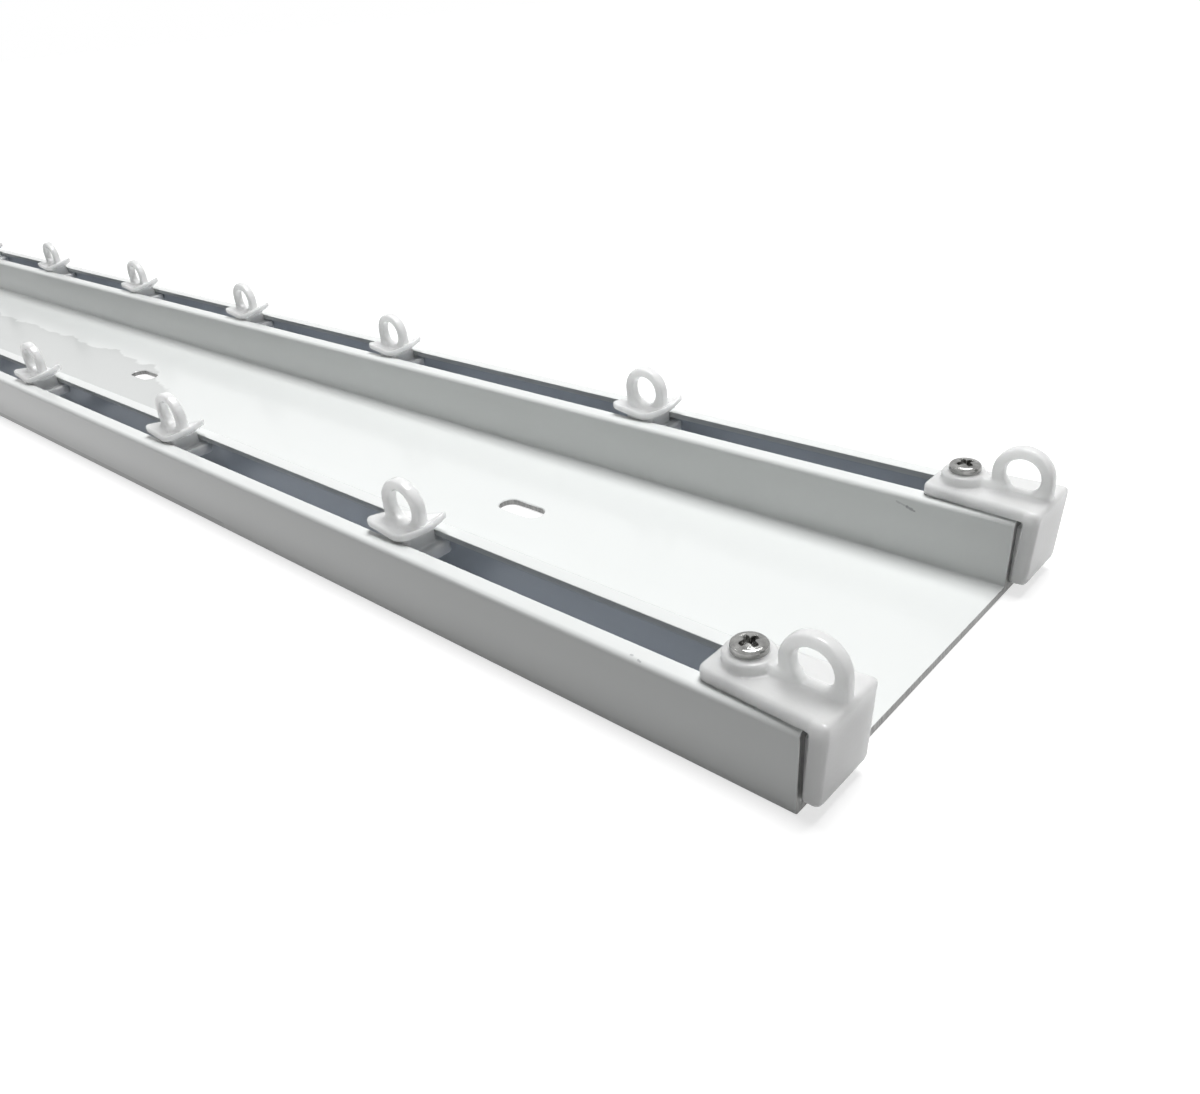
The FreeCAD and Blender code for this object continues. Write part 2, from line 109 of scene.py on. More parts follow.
def make_mesh(name, shells, weld=0.0005):
    """A Blender mesh in metres from shells in millimetres, welded where points meet and turned outwards."""
    points = np.concatenate([piece[0] for piece in shells])
    faces = []
    start = 0
    for piece_points, piece_faces in shells:
        faces += [[index + start for index in face] for face in piece_faces]
        start += len(piece_points)
    mesh = bpy.data.meshes.new(name)
    mesh.from_pydata((points * MM).tolist(), [], faces)
    work = bmesh.new()
    work.from_mesh(mesh)
    bmesh.ops.remove_doubles(work, verts=work.verts, dist=weld * MM)
    bmesh.ops.dissolve_degenerate(work, edges=work.edges, dist=weld * MM / 10)
    bmesh.ops.recalc_face_normals(work, faces=work.faces)
    work.to_mesh(mesh)
    work.free()
    return mesh


# %% [markdown]
# ## Outlines with rounded corners
#
# Moulded and folded parts have no sharp corners. One helper rounds any outline:
# it goes back from each corner along both edges until a circle of the wanted
# radius touches them, and draws that arc.

# %% Round the corners of an outline
def rounded(corners, steps=8, closed=True):
    """Points of an outline whose corners (x, y, radius) are arcs that touch both edges.

    A corner with edge directions a and b turns by an angle t. Its arc starts radius * tan(t / 2)
    before the corner and runs round a centre on the inner side, at one radius from both edges.
    """
    corners = np.array(corners, float)
    count = len(corners)
    points = []
    for number, (x, y, radius) in enumerate(corners):
        corner = np.array([x, y])
        if radius == 0 or (not closed and number in (0, count - 1)):
            points.append(corner[None])
            continue
        before = corner - corners[number - 1, :2]
        after = corners[(number + 1) % count, :2] - corner
        before /= np.linalg.norm(before)
        after /= np.linalg.norm(after)
        side = np.sign(before[0] * after[1] - before[1] * after[0])
        turn = np.arccos(np.clip(before @ after, -1, 1))
        start = corner - before * radius * np.tan(turn / 2)
        inward = side * np.array([-before[1], before[0]])
        centre = start + inward * radius
        angle = side * turn * np.linspace(0, 1, steps + 1)
        arm = start - centre
        cos, sin = np.cos(angle), np.sin(angle)
        arc = np.stack([arm[0] * cos - arm[1] * sin, arm[0] * sin + arm[1] * cos], axis=1)
        points.append(centre + arc)
    return np.concatenate(points)


def inward_normals(outline):
    """Unit normals of a closed outline, pointing inwards.

    Each is the mean of both edges' left normals, turned by the sign of the outline's area.
    """
    forward = np.roll(outline, -1, axis=0) - outline
    forward /= np.linalg.norm(forward, axis=1, keepdims=True)
    both = forward + np.roll(forward, 1, axis=0)
    both /= np.linalg.norm(both, axis=1, keepdims=True)
    following = np.roll(outline, -1, axis=0)
    area = np.sum(outline[:, 0] * following[:, 1] - outline[:, 1] * following[:, 0])
    return np.sign(area) * np.stack([-both[:, 1], both[:, 0]], axis=1)


# %% [markdown]
# ## The rail
#
# The real rail is one folded section, the same all along. It could be extruded from
# a curve, but its plate has slots, so here half the section is a list of points
# with bend radii, to be carried along X and joined to a slotted strip.

# %% The section on one side of the plate
BEND = 1.0
CREASE = 0.3
CUT_EDGE = 0.15


def side_section(start):
    """Half the section as points in Y and Z.

    It runs from the plate's top, at a distance from the middle, out round one channel and back
    along the underside.
    """
    inside = RAIL_EDGE - CHANNEL_WIDTH
    corners = [
        (start, WALL, 0),
        (inside, WALL, CREASE),
        (inside, RAIL_TOP, BEND),
        (inside + LIP, RAIL_TOP, CUT_EDGE),
        (inside + LIP, LIP_UNDERSIDE, CUT_EDGE),
        (inside + WALL, LIP_UNDERSIDE, CREASE),
        (inside + WALL, WALL, CREASE),
        (RAIL_EDGE - WALL, WALL, CREASE),
        (RAIL_EDGE - WALL, LIP_UNDERSIDE, CREASE),
        (RAIL_EDGE - LIP, LIP_UNDERSIDE, CUT_EDGE),
        (RAIL_EDGE - LIP, RAIL_TOP, CUT_EDGE),
        (RAIL_EDGE, RAIL_TOP, BEND),
        (RAIL_EDGE, 0, CREASE),
        (start, 0, 0),
    ]
    return rounded(corners, steps=7, closed=False)


# %% [markdown]
# ## Places along the rail
#
# The ceiling screws go through round-ended slots in a row. Booleans would leave
# long thin faces in the plate, so each slot gets a patch of its own, where the
# places along the rail are close together.

# %% Places along the rail, and the fixing slots
SLOT_SETBACK = 94.7
SLOT_PITCH = 173.6
SLOT_COUNT = 4
SLOT_CENTRES = RAIL_END - SLOT_SETBACK - SLOT_PITCH * np.arange(SLOT_COUNT)
SLOT_HALF_LENGTH = 6.0
SLOT_RADIUS = 2.4
PATCH_HALF = 10.0
PATCH_STEPS = 20
LONG_STEP = 12
CUT_BREAK = 0.12
TINY = 1e-9


def stations():
    """Places along X: close together at each slot's patch, and about 12 mm apart between the patches."""
    edges = [-RAIL_END + CUT_BREAK]
    for centre in sorted(SLOT_CENTRES):
        edges += [centre - PATCH_HALF, centre + PATCH_HALF]
    edges.append(RAIL_END - CUT_BREAK)
    places = []
    for number, (start, end) in enumerate(zip(edges, edges[1:])):
        steps = PATCH_STEPS if number % 2 else int(np.ceil((end - start) / LONG_STEP))
        places.append(np.linspace(start, end, steps, endpoint=False))
    return np.concatenate(places + [[edges[-1]]])


def slot_reach(angle):
    """Distance from a round-ended slot's middle to its edge at an angle.

    It meets a straight side at radius / sin, or else the circle about the nearer end.
    """
    cos, sin = np.abs(np.cos(angle)), np.abs(np.sin(angle))
    straight_half = SLOT_HALF_LENGTH - SLOT_RADIUS
    side = SLOT_RADIUS / np.maximum(sin, TINY)
    end = straight_half * cos + np.sqrt(np.maximum(SLOT_RADIUS**2 - (straight_half * sin)**2, 0))
    return np.where(side * cos <= straight_half, side, end)


print("stations along the rail:", len(stations()), "and slots at X in mm:", SLOT_CENTRES.round(1))

# %% [markdown]
# ## The plate round a slot
#
# A patch is one grid of rings, from its rectangular edge in to the slot. The same
# grid goes on down the slot's wall and out again underneath, so the hole is real.

# %% A patch of plate with a slot in it
SLOT_ROW_HALF = 8.0
SLOT_ROW_OFFSET = 1.6
ROW_STEPS = 16
PATCH_RINGS = 7
SLOT_ROUNDING = 0.2


def rectangle_loop():
    """The patch's edge as a closed loop about its middle.

    Its points are at the stations and rows that its neighbours use.
    """
    along = np.linspace(-PATCH_HALF, PATCH_HALF, PATCH_STEPS + 1)
    across = np.linspace(-SLOT_ROW_HALF, SLOT_ROW_HALF, ROW_STEPS + 1)
    ends = np.full(ROW_STEPS, PATCH_HALF)
    sides = np.full(PATCH_STEPS, SLOT_ROW_HALF)
    return np.concatenate([
        np.stack([along[:-1], -sides], axis=1),
        np.stack([ends, across[:-1]], axis=1),
        np.stack([along[:0:-1], sides], axis=1),
        np.stack([-ends, across[:0:-1]], axis=1),
    ])


def slot_patch(centre):
    """From the patch's edge in to the slot, down its wall and out again underneath, as one grid.

    Each ring is a blend of the rectangle and the slot's outline along the same ray from the middle.
    """
    edge = rectangle_loop()
    angle = np.arctan2(edge[:, 1], edge[:, 0])
    hole = slot_reach(angle)[:, None] * np.stack([np.cos(angle), np.sin(angle)], axis=1)
    inwards = np.linspace(0, 1, PATCH_RINGS)**0.8
    share = np.concatenate([inwards, np.ones(2), inwards[::-1]])
    height = np.concatenate([
        np.full(PATCH_RINGS, WALL), [WALL - SLOT_ROUNDING, SLOT_ROUNDING], np.zeros(PATCH_RINGS),
    ])
    widen = np.zeros(len(share))
    widen[[PATCH_RINGS - 1, PATCH_RINGS + 2]] = SLOT_ROUNDING
    grown = hole[None] * (1 + widen[:, None, None] / np.linalg.norm(hole, axis=1)[None, :, None])
    flat = edge[None] * (1 - share[:, None, None]) + grown * share[:, None, None]
    along, across = flat[..., 0] + centre, flat[..., 1] + SLOT_ROW_OFFSET
    return shell(point_grid(along, across, height[:, None]), wrap=True)


# %% [markdown]
# ## The whole rail
#
# The real rail was sawn to length, so the cut leans a little and its edge is broken
# and uneven. Both are small moves of the same points, so the surface stays closed.

# %% Build the rail
SAW_UNEVEN = 0.05
SAW_LEAN = 0.03
SAW_LEAN_REACH = 4


def carried(section, places):
    """A section of (Y, Z) points carried along X: every point of the section at every place."""
    return shell(point_grid(places[:, None], section[:, 0], section[:, 1]))


def rail_end_cap(outline, sign, rng):
    """The sawn end: the outline shrinks a little over a fine broken edge, uneven like a saw cut."""
    uneven = SAW_UNEVEN * rng.standard_normal(len(outline))
    grid = np.empty((2, len(outline), 3))
    grid[0, :, 0] = RAIL_END - CUT_BREAK
    grid[1, :, 0] = RAIL_END - np.abs(uneven)
    grid[0, :, 1:] = outline
    grid[1, :, 1:] = outline + CUT_BREAK / 2 * inward_normals(outline)
    grid[..., 0] *= sign
    return shell(grid, wrap=True, last_cap=True)


def rail_shells():
    """Every surface of the rail.

    Within a short reach of a cut, points move outwards by their height times the saw's lean.
    """
    side = side_section(SLOT_ROW_HALF + SLOT_ROW_OFFSET)
    mirrored = side_section(SLOT_ROW_HALF - SLOT_ROW_OFFSET)[::-1] * [-1, 1]
    across = np.linspace(SLOT_ROW_HALF, -SLOT_ROW_HALF, ROW_STEPS + 1) + SLOT_ROW_OFFSET
    places = stations()
    pieces = [carried(side, places), carried(mirrored, places)]
    nudge = 0.01
    in_patch = np.any(np.abs(places[:-1, None] - SLOT_CENTRES[None] + nudge) < PATCH_HALF, axis=1)
    for level in (0.0, WALL):
        strip = np.stack([across, np.full(len(across), level)], axis=1)
        points, faces = carried(strip, places)
        kept = [face for face in faces if not in_patch[face[0] // len(across)]]
        pieces.append((points, kept))
    pieces += [slot_patch(centre) for centre in SLOT_CENTRES]
    low = np.stack([across[1:-1], np.zeros(ROW_STEPS - 1)], axis=1)
    high = np.stack([across[-2:0:-1], np.full(ROW_STEPS - 1, WALL)], axis=1)
    outline = np.concatenate([side, low, mirrored, high])
    rng = np.random.default_rng(7)
    pieces += [rail_end_cap(outline, sign, rng) for sign in (1, -1)]
    for points, _ in pieces:
        beyond = np.abs(points[:, 0]) - RAIL_END + SAW_LEAN_REACH
        at_cut = np.clip(beyond / SAW_LEAN_REACH, 0, 1)
        points[:, 0] += np.sign(points[:, 0]) * at_cut * SAW_LEAN * points[:, 2]
    return pieces


rail_mesh = make_mesh("rail_surface", rail_shells())
print("rail:", len(rail_mesh.vertices), "points,", len(rail_mesh.polygons), "faces")

# %% [markdown]
# ## Moulded nylon pieces
#
# A glider and an end stop are each moulded in one go, so their parts run into
# each other over small soft fillets. They could be joined with booleans and
# bevels, but fillets between curved walls are fragile that way. Here each part is
# a closed rounded form, and the overlapping forms are then melted together.

# %% A slab with rounded edges
def rounded_slab(outline, low, high, edge, top_edge=None, lift=None, rings=6):
    """A closed slab over an outline, whose rim follows quarter circles into the flat faces.

    At angle a the rim's inset is edge * (1 - cos a) and its distance from the face is
    edge * (1 - sin a). The flat faces close in rings towards the outline's middle.
    """
    top_edge = edge if top_edge is None else top_edge
    angle = np.linspace(0, np.pi / 2, 6)
    inset = np.concatenate([edge * (1 - np.cos(angle[::-1])), top_edge * (1 - np.cos(angle))])
    height = np.concatenate([low + edge * (1 - np.sin(angle[::-1])), high - top_edge * (1 - np.sin(angle))])
    rim = outline[None] + inset[:, None, None] * inward_normals(outline)[None]
    middle = outline.mean(axis=0)
    innermost = 0.02
    share = np.linspace(1, innermost, rings + 1)[1:]
    bottom = middle + (rim[0] - middle)[None] * share[::-1, None, None]
    top = middle + (rim[-1] - middle)[None] * share[:, None, None]
    flat = np.concatenate([bottom, rim, top])
    levels = np.concatenate([np.full(rings, height[0]), height, np.full(rings, height[-1])])
    along, across = flat[..., 0], flat[..., 1]
    rise = 0 if lift is None else lift(along, across)
    return shell(point_grid(along, across, levels[:, None] + rise), wrap=True, first_cap=True, last_cap=True)


def oblong(start, end, half_width, radii, steps=8):
    """A rectangle from start to end along X, with one radius for all its corners or four in turn."""
    corners = [(start, -half_width), (end, -half_width), (end, half_width), (start, half_width)]
    return rounded(np.column_stack([corners, np.broadcast_to(radii, 4)]), steps)


# %% [markdown]
# ## The eyes
#
# A curtain hook hangs in an upright eye. A torus would be round all the way, but
# the moulded eye has a nearly square section and runs straight down into the plate
# that carries it. So its outer distance changes with the angle.

# %% An eye
def eye(middle, base, level, bore, reach, thickness, squareness=4.5):
    """A ring round a level hole whose outer edge goes straight down below the hole's centre.

    At an angle round the hole, the section between hole and outer edge is a superellipse:
    its radial and sideways parts are signed cos and sin to the power 2 / squareness.
    """
    angle = np.linspace(0, 2 * np.pi, 72, endpoint=False)
    cos, sin = np.cos(angle), np.sin(angle)
    to_side = reach / np.maximum(np.abs(cos), TINY)
    to_base = (level - base) / np.maximum(-sin, TINY)
    outer = np.where(sin >= 0, reach, np.minimum(to_side, to_base))
    turn = np.linspace(0, 2 * np.pi, 28, endpoint=False)
    power = 2 / squareness
    radial = np.sign(np.cos(turn)) * np.abs(np.cos(turn))**power
    sideways = np.sign(np.sin(turn)) * np.abs(np.sin(turn))**power
    centre_line = (outer + bore) / 2
    distance = centre_line[:, None] + (outer - bore)[:, None] / 2 * radial[None]
    along, up = middle + distance * cos[:, None], level + distance * sin[:, None]
    grid = point_grid(along, thickness / 2 * sideways, up)
    closed = np.concatenate([grid, grid[:1]])
    return shell(closed, wrap=True)


# %% [markdown]
# ## From forms to one skin
#
# The remesh wraps the overlapping forms in one skin of small even faces. Smoothing
# turns the inner corners into fillets, and the last step takes away faces that are
# not needed. It runs once for each kind of piece, and the copies share its result.

# %% Melt overlapping forms into one moulded skin
def evaluated_mesh(piece):
    """The object's mesh with its modifiers applied, as a mesh of its own."""
    graph = bpy.context.evaluated_depsgraph_get()
    return bpy.data.meshes.new_from_object(piece.evaluated_get(graph), depsgraph=graph)


def moulded(name, shells, voxel, smoothing, keep):
    """One closed skin over all the shells: voxel remesh, a few smoothing steps, then fewer faces."""
    mesh = make_mesh(name + "_forms", shells)
    piece = bpy.data.objects.new(name + "_forms", mesh)
    bpy.context.collection.objects.link(piece)
    remesh = piece.modifiers.new("one skin", "REMESH")
    remesh.mode = "VOXEL"
    remesh.voxel_size = voxel * MM
    relax = piece.modifiers.new("relax", "SMOOTH")
    relax.factor = 0.5
    relax.iterations = smoothing
    fewer = piece.modifiers.new("fewer faces", "DECIMATE")
    fewer.ratio = keep
    skin = evaluated_mesh(piece)
    bpy.data.objects.remove(piece)
    bpy.data.meshes.remove(mesh)
    print(name, "skin:", len(skin.vertices), "points,", len(skin.polygons), "faces")
    return skin


# %% [markdown]
# ## The glider
#
# A glider runs on a foot under the lips and carries its eye on wings above them.
# The photo shows wings with two opposite corners cut away, bent up at the others,
# one more than the other. The foot is hidden, so its form is a guess. It is wider
# than the slot, so these gliders go in from the channel's end.

# %% The glider's forms
EYE_LEVEL = RAIL_TOP + 5.6
EYE_HOLE = 3.15
EYE_REACH = 5.2
EYE_THICKNESS = 2.3
WING_BASE = RAIL_TOP + 0.4
WING_TOP = WING_BASE + 1.4
WING_HALF_LENGTH = 7.1
WING_HALF_WIDTH = 4.4
WING_FLAT_HALF = 1.6
FOOT_TOP = LIP_UNDERSIDE - 0.5
FOOT_BASE = FOOT_TOP - 2.4


def wing_lift(along, across):
    """Wings bend up from 1.6 mm off the middle, and their pointed corners more.

    With s the share of the way to the tip and c the share of the way to the pointed corner's
    side, the rise is tip * s^1.5 + corner * s * c. It is larger on the wing ahead along X.
    """
    share = np.clip((np.abs(along) - WING_FLAT_HALF) / (WING_HALF_LENGTH - WING_FLAT_HALF), 0, 1)
    to_corner = np.clip(np.sign(along) * across / WING_HALF_WIDTH, 0, 1)
    tip = np.where(along > 0, 2.0, 0.7)
    corner = np.where(along > 0, 1.3, 0.7)
    return tip * share**1.5 + corner * share * to_corner


def glider_shells():
    """The glider's overlapping forms: wings, neck, foot, the web under the eye, and the eye."""
    wings = oblong(-WING_HALF_LENGTH, WING_HALF_LENGTH, WING_HALF_WIDTH, radii=(1.5, 6.2, 1.5, 6.2))
    neck = oblong(-3.9, 3.9, half_width=3.1, radii=0.8, steps=5)
    foot = oblong(-6.0, 6.0, half_width=4.8, radii=(1.0, 3.4, 1.0, 3.4))
    web = oblong(-4.6, 4.6, half_width=1.5, radii=0.5, steps=5)
    return [
        rounded_slab(wings, WING_BASE, WING_TOP, edge=0.25, top_edge=0.5, lift=wing_lift, rings=10),
        rounded_slab(neck, FOOT_BASE + 0.3, WING_BASE + 0.5, edge=0.3),
        rounded_slab(foot, FOOT_BASE, FOOT_TOP, edge=0.4),
        rounded_slab(web, WING_BASE + 0.4, WING_TOP + 0.5, edge=0.4),
        eye(0, WING_BASE + 0.7, EYE_LEVEL, EYE_HOLE, EYE_REACH, EYE_THICKNESS),
    ]


glider_skin = moulded("glider", glider_shells(), voxel=0.2, smoothing=2, keep=0.25)

# %% [markdown]
# ## The end stops
#
# An end stop plugs the channel. Its flange lies over the slot, the locking screw
# goes through a round boss on it, and its own eye holds the last hook of the
# curtain. Its block stands in front of the sawn end, half a millimetre off it at
# the foot, and leans outwards as it rises. So the block is a rounded slab stood on
# edge and sheared.

# %% The end stop's forms
STOP_BASE = RAIL_TOP + 0.15
STOP_TOP = STOP_BASE + 2.2
BOSS_TOP = STOP_TOP + 1.8
BOSS_RADIUS = 3.9
SCREW_BACK = 11.8
EYE_BACK = 1.6
PLUG_BACK = -15.0


def end_block(gap, reach, lean, half_width, base, top):
    """The block before the sawn end, between gap and reach along X, leaning out by lean at its top.

    The slab's level becomes X, and every point moves on by lean times its share of the height.
    """
    outline = rounded([
        (-half_width, base, 1.5), (half_width, base, 1.5), (half_width, top, 0.9), (-half_width, top, 0.9),
    ])
    points, faces = rounded_slab(outline, gap, reach - lean, edge=0.35, top_edge=0.9, rings=8)
    share = (points[:, 1] - base) / (top - base)
    return np.stack([points[:, 2] + lean * share, points[:, 0], points[:, 1]], axis=1), faces


def end_stop_shells():
    """The end stop's overlapping forms, with X = 0 at the rail's sawn end."""
    turn = np.linspace(0, 2 * np.pi, 64, endpoint=False)
    boss = BOSS_RADIUS * np.stack([np.cos(turn), np.sin(turn)], axis=1) - [SCREW_BACK, 0]
    flange = rounded([(-17.2, -5.3, 1.7), (2.6, -6.5, 0.6), (2.6, 6.5, 0.6), (-17.2, 5.3, 1.7)])
    plug = oblong(PLUG_BACK, 1.9, half_width=5.25, radii=0.5, steps=4)
    neck = oblong(PLUG_BACK, 0.2, half_width=3.25, radii=0.5, steps=4)
    rib = oblong(-9.5, -4.0, half_width=1.3, radii=0.5, steps=4)
    web = oblong(-6.4, 3.2, half_width=1.05, radii=0.4, steps=4)
    return [
        rounded_slab(flange, STOP_BASE, STOP_TOP, edge=0.25, top_edge=0.8, rings=8),
        rounded_slab(plug, WALL + 0.15, LIP_UNDERSIDE - 0.15, edge=0.3),
        rounded_slab(neck, 6.0, STOP_BASE + 0.5, edge=0.3),
        rounded_slab(boss, STOP_TOP - 0.8, BOSS_TOP, edge=0.2, top_edge=0.5),
        rounded_slab(rib, STOP_TOP - 0.8, BOSS_TOP - 0.3, edge=0.3),
        rounded_slab(web, STOP_TOP - 0.6, STOP_TOP + 0.4, edge=0.3),
        end_block(gap=0.5, reach=4.2, lean=1.1, half_width=6.7, base=2.0, top=STOP_TOP),
        eye(-EYE_BACK, STOP_BASE + 0.4, EYE_LEVEL, EYE_HOLE, EYE_REACH, EYE_THICKNESS),
    ]


# %% [markdown]
# ## A hole for the screw
#
# The screw needs a clean round hole, which the remesh would blur. So it is cut
# afterwards, with one exact boolean.

# %% Bore the end stop
BORE_RADIUS = 1.55
DRILL_ENDS = np.array([-5.0, 40.0])


def bored(skin, name, along, radius):
    """The skin with a round hole bored straight down through it, cut with an exact boolean."""
    turn = np.linspace(0, 2 * np.pi, 48, endpoint=False)
    grid = point_grid(along + radius * np.cos(turn), radius * np.sin(turn), DRILL_ENDS[:, None])
    drill = bpy.data.objects.new("drill", make_mesh("drill", [shell(grid, True, True, True)]))
    piece = bpy.data.objects.new(name, skin)
    for item in (drill, piece):
        bpy.context.collection.objects.link(item)
    cut = piece.modifiers.new("bore", "BOOLEAN")
    cut.operation = "DIFFERENCE"
    cut.solver = "EXACT"
    cut.object = drill
    result = evaluated_mesh(piece)
    for item in (drill, piece):
        bpy.data.objects.remove(item)
    return result


stop_skin = moulded("end_stop", end_stop_shells(), voxel=0.22, smoothing=2, keep=0.25)
stop_skin = bored(stop_skin, "end_stop", -SCREW_BACK, BORE_RADIUS)
print("bored end stop:", len(stop_skin.polygons), "faces")

# %% [markdown]
# ## The locking screws
#
# A pan head is a low dome over a short round side, and its cross recess has
# straight walls that slope in towards the middle. The whole screw is one surface
# of revolution, with the recess pressed into the dome as a depth at each point.

# %% The screw as one turned surface
SCREW_RADIUS = 1.45
SCREW_CHAMFER = 0.4
HEAD_RADIUS = 2.75
HEAD_HEIGHT = 1.6
HEAD_EDGE = 0.2
RIM_RISE = 0.6
CROWN_RADIUS = 2.0
CROWN_RISE = 0.2
CROWN_STEPS = 46
RECESS_DEPTH = 1.1
RECESS_HALF_WIDTH, RECESS_SIDE_SLOPE = 0.47, 0.09
RECESS_REACH, RECESS_TIP_SLOPE = 1.72, 0.75
CORE_RADIUS, CORE_SLOPE = 0.85, 0.35


def smooth_step(value):
    """Rises from 0 to 1 over the range 0 to 1, level at both ends: 3 v squared minus 2 v cubed."""
    value = np.clip(value, 0, 1)
    return value * value * (3 - 2 * value)


def recess_depth(x, y):
    """Depth of the cross recess: the deeper of two crossed wings, each tapering in depth to its tips."""
    def wing(along, across):
        """One arm of the cross: the product of its sides' and its tips' slopes."""
        side = smooth_step((RECESS_HALF_WIDTH - np.abs(across)) / RECESS_SIDE_SLOPE)
        reach = smooth_step((RECESS_REACH - np.abs(along)) / RECESS_TIP_SLOPE)
        return side * reach
    core = smooth_step((CORE_RADIUS - np.hypot(x, y)) / CORE_SLOPE)
    return RECESS_DEPTH * np.maximum(np.maximum(wing(x, y), wing(y, x)), core)


def screw_grid(turned_by):
    """The screw's outline turned round its axis; above the rim, height is the dome minus the recess.

    The rim is a quarter ellipse, and the crown's height falls with the square of the radius.
    """
    rim = np.linspace(0, np.pi / 2, 9)
    crown = np.linspace(CROWN_RADIUS, 0.0, CROWN_STEPS)
    side_top = BOSS_TOP + HEAD_HEIGHT - RIM_RISE - CROWN_RISE
    side_radius = [0, SCREW_RADIUS - SCREW_CHAMFER, SCREW_RADIUS, SCREW_RADIUS,
                   HEAD_RADIUS - 0.25, HEAD_RADIUS, HEAD_RADIUS]
    side_height = [WALL, WALL, WALL + SCREW_CHAMFER, BOSS_TOP,
                   BOSS_TOP, BOSS_TOP + HEAD_EDGE, side_top - HEAD_EDGE]
    rim_radius = HEAD_RADIUS - (HEAD_RADIUS - CROWN_RADIUS) * (1 - np.cos(rim))
    crown_height = side_top + RIM_RISE + CROWN_RISE * (1 - (crown / CROWN_RADIUS)**2)
    radius = np.concatenate([side_radius, rim_radius, crown])
    height = np.concatenate([side_height, side_top + RIM_RISE * np.sin(rim), crown_height])
    angle = np.linspace(0, 2 * np.pi, 120, endpoint=False)
    x = radius[:, None] * np.cos(angle)[None]
    y = radius[:, None] * np.sin(angle)[None]
    cos, sin = np.cos(turned_by), np.sin(turned_by)
    depth = recess_depth(x * cos - y * sin, x * sin + y * cos)
    depth[:len(side_radius) + len(rim)] = 0
    return point_grid(x, y, height[:, None] - depth)


# %% [markdown]
# ## Putting every piece in its place
#
# The CAD node's own box says where a piece goes, so nothing is placed by eye. A
# half turn about Z serves the far end: both X and Y change sign, which keeps the
# piece's hand. Each object stays at the origin and its place is in its mesh.

# %% Place copies of a skin
def add_piece(name, mesh, smooth=True):
    """Links a mesh into the scene as an object at the origin, smooth or flat shaded."""
    mesh.polygons.foreach_set("use_smooth", np.full(len(mesh.polygons), smooth))
    piece = bpy.data.objects.new(name, mesh)
    bpy.context.collection.objects.link(piece)
    return piece


def placed(name, skin, right, back, half_turn=False):
    """A copy of a skin moved to its place in millimetres, with X and Y reversed first for a half turn."""
    mesh = skin.copy()
    mesh.name = name
    points = np.empty(len(mesh.vertices) * 3)
    mesh.vertices.foreach_get("co", points)
    points = points.reshape(-1, 3)
    if half_turn:
        points[:, :2] *= -1
    points += np.array([right, back, 0]) * MM
    mesh.vertices.foreach_set("co", points.ravel())
    mesh.update()
    return add_piece(name, mesh)


rail_piece = add_piece("rail_white", rail_mesh)
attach(rail_piece, "rail")
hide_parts("track_rail")

gliders = []
for node in sorted(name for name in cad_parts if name.startswith("glider_")):
    low, high = (np.array(corner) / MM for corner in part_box(node))
    middle = (low + high) / 2
    piece = placed(node + "_nylon", glider_skin, middle[0], middle[1])
    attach(piece, node)
    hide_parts(node)
    gliders.append(piece)
print(len(gliders), "gliders placed")

# %% [markdown]
# ## The four ends
#
# Each channel has a stop at both ends, with a screw in each. The four screws share
# one node, so their shells go into one mesh. Each is turned differently, as a
# driver leaves them.

# %% The end stops and their screws
FIRST_SCREW_TURN = 0.35
SCREW_TURN_STEP = 0.9
stops = []
screw_shells = []
for channel, side in (("front", -1), ("back", 1)):
    for end, sign in (("right", 1), ("left", -1)):
        node = f"end_stop_{channel}_{end}"
        back = side * CHANNEL_CENTRE
        piece = placed(node + "_nylon", stop_skin, sign * RAIL_END, back, half_turn=sign < 0)
        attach(piece, "rail")
        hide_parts(node)
        stops.append(piece)
        grid = screw_grid(turned_by=FIRST_SCREW_TURN + SCREW_TURN_STEP * len(screw_shells))
        grid += np.array([sign * (RAIL_END - SCREW_BACK), back, 0])
        screw_shells.append(shell(grid, wrap=True))
screw_piece = add_piece("stop_screws_zinc", make_mesh("stop_screws_zinc", screw_shells))
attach(screw_piece, "rail")
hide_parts("stop_screws")
print("screws:", len(screw_piece.data.polygons), "faces")

# %% [markdown]
# ## Shading by angle
#
# Smooth shading suits rounded skins, but the rail also has flat faces that meet at
# fine cut edges. Marking the edges that turn sharply keeps both crisp and smooth.

# %% Keep the rail's cut edges crisp
SHARP_DEGREES = 28


def mark_sharp(mesh, degrees):
    """Marks every edge whose faces turn by more than the angle, so that smooth shading stops there."""
    work = bmesh.new()
    work.from_mesh(mesh)
    limit = float(np.radians(degrees))
    for edge in work.edges:
        edge.smooth = len(edge.link_faces) == 2 and edge.calc_face_angle(0) < limit
    work.to_mesh(mesh)
    work.free()


for mesh in (rail_mesh, screw_piece.data):
    mark_sharp(mesh, SHARP_DEGREES)

# %% [markdown]
# ## Shared finish effects
#
# Paint, nylon and steel all vary a little in tone and all have a fine relief, at
# different scales. Each effect is a node group with named inputs, built once.
# The groups give out only colours, values and normals, and the shader stays in
# each material.

# %% Helpers for node trees
def new_group(name, inputs, outputs):
    """An empty node group with its sockets: inputs are (name, type, default) and outputs are (name, type)."""
    group = bpy.data.node_groups.new(name, "ShaderNodeTree")
    for socket_name, kind, default in inputs:
        socket = group.interface.new_socket(socket_name, in_out="INPUT", socket_type=kind)
        socket.default_value = default
    for socket_name, kind in outputs:
        group.interface.new_socket(socket_name, in_out="OUTPUT", socket_type=kind)
    start = group.nodes.new("NodeGroupInput")
    end = group.nodes.new("NodeGroupOutput")
    return group, start, end


